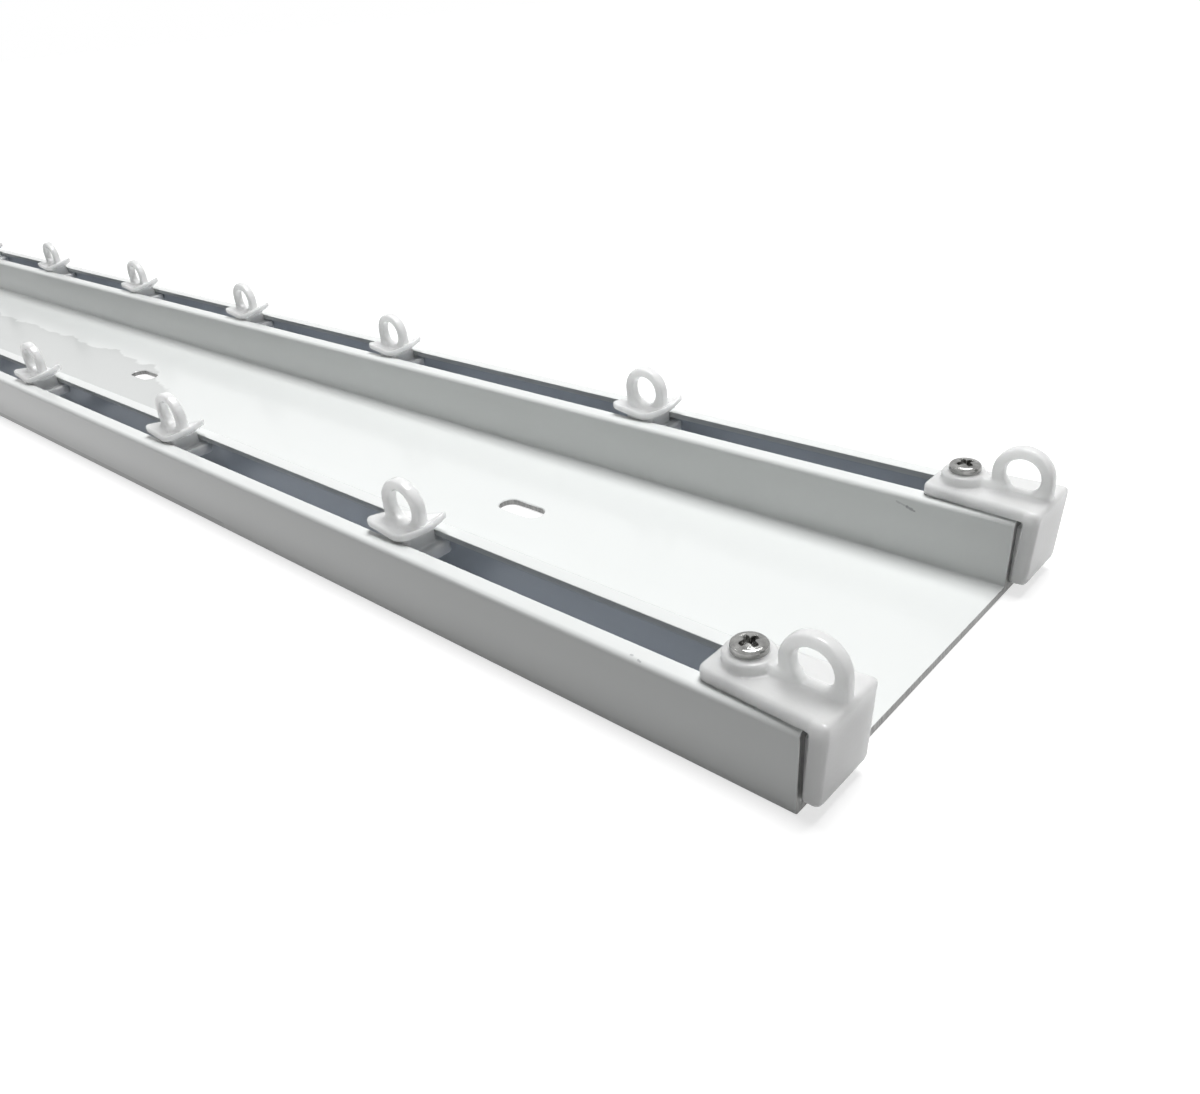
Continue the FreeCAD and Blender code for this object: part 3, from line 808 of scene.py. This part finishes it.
def math(tree, operation, first, second=None, third=None, clamp=False):
    """A math node fed by sockets or plain numbers, giving back its output socket."""
    node = tree.nodes.new("ShaderNodeMath")
    node.operation = operation
    node.use_clamp = clamp
    for index, value in enumerate((first, second, third)):
        if value is None:
            continue
        if isinstance(value, (int, float)):
            node.inputs[index].default_value = value
        else:
            tree.links.new(value, node.inputs[index])
    return node.outputs[0]


def all_of(tree, *masks):
    """One mask from several, by multiplying them."""
    product = masks[0]
    for mask in masks[1:]:
        product = math(tree, "MULTIPLY", product, mask)
    return product


def vector_math(tree, operation, first, second=None):
    """A vector math node fed by a socket and, where it needs one, by a constant vector."""
    node = tree.nodes.new("ShaderNodeVectorMath")
    node.operation = operation
    tree.links.new(first, node.inputs[0])
    if second is not None:
        node.inputs[1].default_value = second
    return node


def noise(tree, vector, scale, detail=3.0):
    """A noise texture's value between 0 and 1; its scale is a number or a socket."""
    node = tree.nodes.new("ShaderNodeTexNoise")
    node.inputs["Detail"].default_value = detail
    tree.links.new(vector, node.inputs["Vector"])
    if isinstance(scale, (int, float)):
        node.inputs["Scale"].default_value = scale
    else:
        tree.links.new(scale, node.inputs["Scale"])
    return node.outputs["Fac"]


def mix_colour(tree, factor, first, second):
    """A colour mix fed by sockets or plain colours."""
    node = tree.nodes.new("ShaderNodeMix")
    node.data_type = "RGBA"
    tree.links.new(factor, node.inputs["Factor"])
    for name, value in (("A", first), ("B", second)):
        socket = next(item for item in node.inputs if item.name == name and item.type == "RGBA")
        if isinstance(value, tuple):
            socket.default_value = value
        else:
            tree.links.new(value, socket)
    return next(item for item in node.outputs if item.type == "RGBA")


# %% [markdown]
# ## Soft patches of two tints
#
# No real surface has quite one colour. The tone group mixes two near tints with a
# soft noise, whose contrast is raised first so that both tints are really reached.

# %% The tone group
tone_group, start, end = new_group(
    "soft tone",
    [("Vector", "NodeSocketVector", (0, 0, 0)), ("Tint A", "NodeSocketColor", (1, 1, 1, 1)),
     ("Tint B", "NodeSocketColor", (1, 1, 1, 1)), ("Scale", "NodeSocketFloat", 20.0)],
    [("Color", "NodeSocketColor"), ("Value", "NodeSocketFloat")],
)
patches = noise(tone_group, start.outputs["Vector"], start.outputs["Scale"], detail=4.0)
spread = math(tone_group, "MULTIPLY_ADD", patches, 2.2, -0.6, clamp=True)
tone_group.links.new(
    mix_colour(tone_group, spread, start.outputs["Tint A"], start.outputs["Tint B"]), end.inputs["Color"])
tone_group.links.new(spread, end.inputs["Value"])

# %% [markdown]
# ## A fine uneven surface
#
# Paint has an orange peel and plastic a fine grain, both too small to model. The
# relief group turns a fine noise, with its height in metres, into normals.

# %% The relief group
relief_group, start, end = new_group(
    "fine relief",
    [("Vector", "NodeSocketVector", (0, 0, 0)), ("Scale", "NodeSocketFloat", 800.0),
     ("Height", "NodeSocketFloat", 0.00002)],
    [("Normal", "NodeSocketVector")],
)
grain = noise(relief_group, start.outputs["Vector"], start.outputs["Scale"], detail=2.0)
bump = relief_group.nodes.new("ShaderNodeBump")
bump.inputs["Distance"].default_value = 1.0
relief_group.links.new(math(relief_group, "MULTIPLY", grain, start.outputs["Height"]), bump.inputs["Height"])
relief_group.links.new(bump.outputs["Normal"], end.inputs["Normal"])
print("groups:", tone_group.name, "and", relief_group.name)

# %% [markdown]
# ## Starting a material
#
# Every finish starts from a principled shader and the object's own coordinates,
# which stay with the object when it moves. Each mesh holds its place, so they are
# also the places in the resting scene, in metres.

# %% Helpers for materials
def new_material(name, roughness, metallic=0.0):
    """A material with a principled shader, as (material, tree, shader, object coordinates)."""
    material = bpy.data.materials.new(name)
    material.use_nodes = True
    tree = material.node_tree
    shader = tree.nodes["Principled BSDF"]
    shader.inputs["Roughness"].default_value = roughness
    shader.inputs["Metallic"].default_value = metallic
    place = tree.nodes.new("ShaderNodeTexCoord").outputs["Object"]
    return material, tree, shader, place


def use_group(tree, group, vector, **values):
    """Places a group in a material's tree, fed by a vector, with its own values."""
    node = tree.nodes.new("ShaderNodeGroup")
    node.node_tree = group
    tree.links.new(vector, node.inputs["Vector"])
    for name, value in values.items():
        node.inputs[name.replace("_", " ")].default_value = value
    return node


def tone_of(tree, vector, first, second, scale):
    """The tone group between two tints, with the scale of its patches."""
    return use_group(tree, tone_group, vector, Tint_A=first + (1,), Tint_B=second + (1,), Scale=scale)


def add_relief(tree, shader, vector, scale, height):
    """Gives a shader the relief group's normals, with the grain's scale and its height in metres."""
    relief = use_group(tree, relief_group, vector, Scale=scale, Height=height)
    tree.links.new(relief.outputs["Normal"], shader.inputs["Normal"])


def stretched(tree, vector, scale):
    """The coordinates with each axis scaled; a small number draws the pattern out along its axis."""
    node = tree.nodes.new("ShaderNodeMapping")
    node.inputs["Scale"].default_value = scale
    tree.links.new(vector, node.inputs["Vector"])
    return node.outputs["Vector"]


# %% [markdown]
# ## White paint on the rail
#
# The rail is painted white: smooth, slightly glossy and nearly even in tone, with a
# faint orange peel. The even part comes first. Then painted shade darkens the channel
# insides, and a grey patch on the far part of the plate and a few rubs follow, each
# a mask that mixes one darker colour into it.

# %% The paint's even part
paint, tree, shader, place = new_material("white paint", 0.25)
tone = tone_of(tree, place, (0.685, 0.703, 0.696), (0.705, 0.722, 0.715), scale=14.0)
add_relief(tree, shader, place, scale=900.0, height=0.000012)
gloss = math(tree, "MULTIPLY_ADD", noise(tree, place, 60.0), 0.08, 0.12)
tree.links.new(gloss, shader.inputs["Roughness"])
split = tree.nodes.new("ShaderNodeSeparateXYZ")
tree.links.new(place, split.inputs[0])

# %% [markdown]
# ## Painted shade in the channels, and a grey patch
#
# The insides of the channels get a darker blue-grey tint than the paint: painted shade,
# on top of the shade that the scene casts there. The grey patch lies on the plate only,
# behind a slanted edge that noise makes ragged, and it fades out towards the far end.

# %% Masks for the channel shade and the grey patch
MASK_REACH = 0.2
GREY_PATCH_SIDE = 8.5
GREY_PATCH_SLOPE = -0.376
GREY_PATCH_SLANT = 55.4
GREY_PATCH_RAGGED = 14.0
GREY_PATCH_START = 7.0
GREY_PATCH_SOFTNESS = 0.8
GREY_PATCH_FADE = 80
GREY_PATCH_STRENGTH = 0.25


def channel_shade_mask(tree, y, z):
    """1 inside both channels, where painted shade darkens the paint: between the walls, under the lips and
    above the floor.
    """
    from_middle = math(tree, "ABSOLUTE", y)
    off_centre = math(tree, "ABSOLUTE", math(tree, "SUBTRACT", from_middle, CHANNEL_CENTRE * MM))
    between_walls = math(tree, "LESS_THAN", off_centre, (CHANNEL_WIDTH / 2 - WALL + MASK_REACH) * MM)
    under_lips = math(tree, "LESS_THAN", z, (LIP_UNDERSIDE + MASK_REACH) * MM)
    above_floor = math(tree, "GREATER_THAN", z, (WALL - MASK_REACH) * MM)
    return all_of(tree, between_walls, under_lips, above_floor)


def plate_grey_patch(tree, place, x, y, z):
    """A ragged grey patch on the plate, by its depth behind a slanted edge.

    Depth is the smaller of side and slant + slope * X, less Y, plus noise. The patch starts at a
    set depth and is full a little deeper.
    """
    slanted = math(tree, "MULTIPLY_ADD", x, GREY_PATCH_SLOPE, GREY_PATCH_SLANT * MM)
    edge = math(tree, "MINIMUM", GREY_PATCH_SIDE * MM, slanted)
    ragged = math(tree, "MULTIPLY", noise(tree, place, 55.0, detail=6.0), GREY_PATCH_RAGGED * MM)
    depth = math(tree, "ADD", math(tree, "SUBTRACT", edge, y), ragged)
    past_start = math(tree, "SUBTRACT", depth, GREY_PATCH_START * MM)
    grey_patch = math(tree, "DIVIDE", past_start, GREY_PATCH_SOFTNESS * MM, clamp=True)
    on_plate = math(tree, "LESS_THAN", z, (WALL + MASK_REACH) * MM)
    fading = math(tree, "DIVIDE", math(tree, "ADD", x, GREY_PATCH_FADE * MM), GREY_PATCH_FADE * MM, clamp=True)
    return all_of(tree, grey_patch, on_plate, fading, GREY_PATCH_STRENGTH)


along, across, height = (split.outputs[axis] for axis in "XYZ")
inside = channel_shade_mask(tree, across, height)
# Painted shade: a darker blue-grey tint inside both channels.
colour = mix_colour(tree, inside, tone.outputs["Color"], (0.56, 0.59, 0.63, 1))
# A darker grey patch with a ragged edge on the far part of the plate.
grey_patch = plate_grey_patch(tree, place, along, across, height)
colour = mix_colour(tree, grey_patch, colour, (0.05, 0.05, 0.05, 1))

# %% [markdown]
# ## Rubs from handling
#
# The real rail has dark rubs on the back channel's wall near its end and on the
# front channel's outer bend. An image could hold them, but four short lines are
# enough: each is a mask that falls off sideways and is broken up by noise.

# %% Rubs
RUBS = [
    ((RAIL_END - 20.9, 26.4, 12.4), (RAIL_END - 18.9, 26.4, 11.9), 0.25, 0.3),
    ((RAIL_END - 18.9, 26.4, 11.9), (RAIL_END - 17.4, 26.4, 11.3), 0.38, 0.6),
    ((RAIL_END - 28.3, -39.1, 14.0), (RAIL_END - 27.9, -39.1, 14.0), 0.25, 0.45),
    ((RAIL_END - 26.7, -39.4, 13.9), (RAIL_END - 26.1, -39.5, 13.8), 0.2, 0.5),
]


def rub_mark(tree, place, start, end, width, strength):
    """A mask along a short line: 1 on it, falling to 0 at its width, broken up by fine noise.

    A point's distance from the line is its distance sideways, by Pythagoras, plus the way that
    it lies beyond the line's end.
    """
    start, end = np.array(start) * MM, np.array(end) * MM
    along = end - start
    length = np.linalg.norm(along)
    offset = vector_math(tree, "SUBTRACT", place, (start + end) / 2).outputs["Vector"]
    run = math(tree, "ABSOLUTE", vector_math(tree, "DOT_PRODUCT", offset, along / length).outputs["Value"])
    total = vector_math(tree, "LENGTH", offset).outputs["Value"]
    squared = math(tree, "SUBTRACT", math(tree, "POWER", total, 2.0), math(tree, "POWER", run, 2.0))
    sideways = math(tree, "SQRT", math(tree, "MAXIMUM", squared, 0.0))
    beyond = math(tree, "MAXIMUM", math(tree, "SUBTRACT", run, length / 2), 0.0)
    distance = math(tree, "ADD", sideways, beyond)
    reach = math(tree, "MULTIPLY", noise(tree, place, 1500.0), 2 * width * MM)
    mask = math(tree, "DIVIDE", math(tree, "SUBTRACT", reach, distance), width * MM * 0.6, clamp=True)
    return math(tree, "MULTIPLY", mask, strength, clamp=True)


for start_point, end_point, width, strength in RUBS:
    mask = rub_mark(tree, place, start_point, end_point, width, strength)
    colour = mix_colour(tree, mask, colour, (0.18, 0.18, 0.2, 1))
tree.links.new(colour, shader.inputs["Base Color"])
print("white paint:", len(RUBS), "rubs,", len(tree.nodes), "nodes")

# %% [markdown]
# ## The sawn ends and the slot walls
#
# The cut ends have no paint, and the walls of the punched slots are darker too, so they get
# the same finish. Saw marks run up and down, so the noise is drawn out along Z. Which faces
# get this finish follows from their places: the rail's ends, and a slot's wall between the
# plate's two faces.

# %% Sawn metal
sawn, tree, shader, place = new_material("sawn metal", 0.5, metallic=0.85)
marks = noise(tree, stretched(tree, place, (1.0, 1.0, 0.12)), 2600.0)
shade = tree.nodes.new("ShaderNodeValToRGB")
shade.color_ramp.elements[0].color = (0.1, 0.1, 0.103, 1)
shade.color_ramp.elements[1].color = (0.46, 0.46, 0.45, 1)
tree.links.new(marks, shade.inputs["Fac"])
tree.links.new(shade.outputs["Color"], shader.inputs["Base Color"])
add_relief(tree, shader, stretched(tree, place, (1.0, 1.0, 0.15)), scale=3000.0, height=0.00006)

rail_mesh.materials.append(paint)
rail_mesh.materials.append(sawn)
centres = np.empty(len(rail_mesh.polygons) * 3)
rail_mesh.polygons.foreach_get("center", centres)
x, y, z = centres.reshape(-1, 3).T / MM
at_end = np.abs(x) > RAIL_END - CUT_BREAK * 0.8
near = 0.3
from_face = 0.25
by_slot = np.abs(x[:, None] - SLOT_CENTRES[None]).min(axis=1) < SLOT_HALF_LENGTH + near
in_row = np.abs(y - SLOT_ROW_OFFSET) < SLOT_RADIUS + near
in_slot_wall = by_slot & in_row & (z > from_face) & (z < WALL - from_face)
rail_mesh.polygons.foreach_set("material_index", (at_end | in_slot_wall).astype(np.int32))
print("sawn faces:", int(at_end.sum()), "and punched faces:", int(in_slot_wall.sum()))

# %% [markdown]
# ## Milky nylon
#
# The gliders and stops are natural nylon: white, softly glossy and a little
# see-through. Light that enters leaves again some way off, so the shader scatters
# it over 6.5 mm in the gliders and 10 mm in the stops. A longer way looks waxier
# and darker in thin places, so the whiter gliders have the shorter one.

# %% Milky nylon
def milky_nylon(name, tint, spread, see_through):
    """Nylon with its two tints, the distance in metres that light travels inside it, and its clear share."""
    material, tree, shader, place = new_material(name, 0.13)
    lighter = tuple(min(value + 0.02, 1.0) for value in tint)
    tone = tone_of(tree, place, tint, lighter, scale=160.0)
    tree.links.new(tone.outputs["Color"], shader.inputs["Base Color"])
    add_relief(tree, shader, place, scale=1400.0, height=0.000015)
    shader.inputs["Subsurface Weight"].default_value = 0.9
    shader.inputs["Subsurface Radius"].default_value = (1.0, 1.0, 1.0)
    shader.inputs["Subsurface Scale"].default_value = spread
    shader.inputs["IOR"].default_value = 1.45
    shader.inputs["Transmission Weight"].default_value = see_through
    return material


glider_nylon = milky_nylon("glider nylon", (0.962, 0.978, 0.968), spread=0.0065, see_through=0.08)
stop_nylon = milky_nylon("stop nylon", (0.94, 0.96, 0.948), spread=0.01, see_through=0.14)
for pieces, material in ((gliders, glider_nylon), (stops, stop_nylon)):
    for piece in pieces:
        piece.data.materials.clear()
        piece.data.materials.append(material)
print("nylon on", len(gliders), "gliders and", len(stops), "stops")

# %% [markdown]
# ## Bright zinc
#
# The screws are zinc plated steel, bright on the rim and duller where a driver
# has turned in the recess. Metal takes its colour from what it reflects, so a
# little variation in roughness does most of the work. Both tints are a painted
# reflection: far darker than zinc, for a darker room reflected in the screws, in
# soft random patches that the roughness follows.

# %% Bright zinc
zinc, tree, shader, place = new_material("bright zinc", 0.28, metallic=1.0)
# Painted reflection: both tints are far darker than zinc, for a darker room reflected in the screws.
tone = tone_of(tree, place, (0.19, 0.19, 0.185), (0.37, 0.37, 0.36), scale=700.0)
tree.links.new(tone.outputs["Color"], shader.inputs["Base Color"])
gloss = math(tree, "MULTIPLY_ADD", tone.outputs["Value"], 0.16, 0.12)
tree.links.new(gloss, shader.inputs["Roughness"])
add_relief(tree, shader, place, scale=2500.0, height=0.00003)
screw_piece.data.materials.append(zinc)
print("materials:", [material.name for material in bpy.data.materials])

# %% [markdown]
# ## Camera
#
# The camera stands where the photographer's did. Its place and its three
# directions were worked out from the rail's long edges, its sawn end and its bends.
# They are written as a matrix, so there is no turn order to get wrong.

# %% Camera
def set_frame(item, right, upward, backward, place):
    """Links an object whose matrix has its three directions and its place as columns."""
    columns = np.eye(4)
    columns[:3] = np.stack([right, upward, backward, place], axis=1)
    item.matrix_world = Matrix(columns.tolist())
    bpy.context.collection.objects.link(item)


camera_data = bpy.data.cameras.new("camera")
camera_data.sensor_width = 36.0
camera_data.sensor_fit = "HORIZONTAL"
camera_data.lens = 30.296
camera_data.clip_start = 0.01
camera = bpy.data.objects.new("camera", camera_data)
right = np.array([0.74312, 0.66380, -0.08448])
down = np.array([0.26980, -0.41276, -0.86996])
forward = np.array([-0.61235, 0.62369, -0.48583])
stand = np.array([RAIL_END * MM + 0.05304, -0.12605, 0.09819])
set_frame(camera, right, -down, -forward, stand)
bpy.context.scene.camera = camera
print("camera stands at, in metres:", stand.round(4))

# %% [markdown]
# ## Floor and light
#
# The photo has a plain white ground. The floor is a real pale surface that takes
# the track's shadow, and what the camera sees of it is lifted to white by light
# that only camera rays meet, so that the object isn't lit by it.

# %% Floor
FLOOR_HALF_SIZE = 6000.0
FLOOR_LEVEL = -0.02


def background_rays(tree):
    """1 for rays that show the background.

    Those are camera rays and the ones that a gloss or a see-through body sends on.
    """
    path = tree.nodes.new("ShaderNodeLightPath")
    passed_on = math(tree, "MAXIMUM", path.outputs["Is Glossy Ray"], path.outputs["Is Transmission Ray"])
    return math(tree, "MAXIMUM", path.outputs["Is Camera Ray"], passed_on)


def floor_surface(half_size, level):
    """A flat square of two rows by two columns, just below the track's underside."""
    side = np.array([-half_size, half_size])
    return shell(point_grid(side[:, None], side, level))


surface = floor_surface(FLOOR_HALF_SIZE, FLOOR_LEVEL)
floor = add_piece("floor", make_mesh("floor", [surface]), smooth=False)

# %% [markdown]
# ## The floor's surface
#
# The floor is mid grey, so it throws less light back up at the track. What it gives
# out to the camera is a third less near the track, where the shadow shows, and full
# from a metre away, where the ground is plain white.

# %% Pale floor
ground = bpy.data.materials.new("pale floor")
ground.use_nodes = True
tree = ground.node_tree
shader = tree.nodes["Principled BSDF"]
shader.inputs["Base Color"].default_value = (0.45, 0.45, 0.45, 1)
shader.inputs["Roughness"].default_value = 0.9
shader.inputs["Emission Color"].default_value = (1, 1, 1, 1)
radius = vector_math(tree, "LENGTH", tree.nodes.new("ShaderNodeTexCoord").outputs["Object"])
fade = tree.nodes.new("ShaderNodeMapRange")
for name, value in (("From Min", 0.45), ("From Max", 1.0), ("To Min", 0.68), ("To Max", 1.0)):
    fade.inputs[name].default_value = value
tree.links.new(radius.outputs["Value"], fade.inputs["Value"])
shown = math(tree, "MULTIPLY", background_rays(tree), fade.outputs["Result"])
tree.links.new(shown, shader.inputs["Emission Strength"])
floor.data.materials.append(ground)

# %% [markdown]
# ## World and lamps
#
# The photo's light falls on the near end and fades to the left, as under one lamp a
# metre overhead. A weak lamp far to the left lifts the near wall there. The world
# is white for the rays that show it and nearly dark for the light on the object.

# %% World and lamps
AMBIENT = 0.07
world = bpy.data.worlds.new("studio")
bpy.context.scene.world = world
world.use_nodes = True
tree = world.node_tree
background = tree.nodes["Background"]
background.inputs["Color"].default_value = (1, 1, 1, 1)
level = math(tree, "MULTIPLY_ADD", background_rays(tree), 1 - AMBIENT, AMBIENT)
tree.links.new(level, background.inputs["Strength"])


def soft_lamp(name, place, target, size, power):
    """A square area lamp at a place in metres, turned to face a target."""
    data = bpy.data.lights.new(name, "AREA")
    data.shape = "SQUARE"
    data.size = size
    data.energy = power
    away = np.array(place) - np.array(target)
    away /= np.linalg.norm(away)
    sideways = np.cross([0, 1, 0], away)
    sideways /= np.linalg.norm(sideways)
    set_frame(bpy.data.objects.new(name, data), sideways, np.cross(away, sideways), away, place)
    print("lamp:", name, power, "watts")


soft_lamp("overhead", place=(0.34, 0.2, 0.95), target=(0.32, 0.0, 0.0), size=0.5, power=12.4)
soft_lamp("left strip", place=(-1.0, -0.8, 1.3), target=(0.2, 0.0, 0.0), size=0.2, power=0.95)

# %% [markdown]
# ## Colour
#
# The Standard view shows colours as they were written.

# %% View
bpy.context.scene.view_settings.view_transform = "Standard"
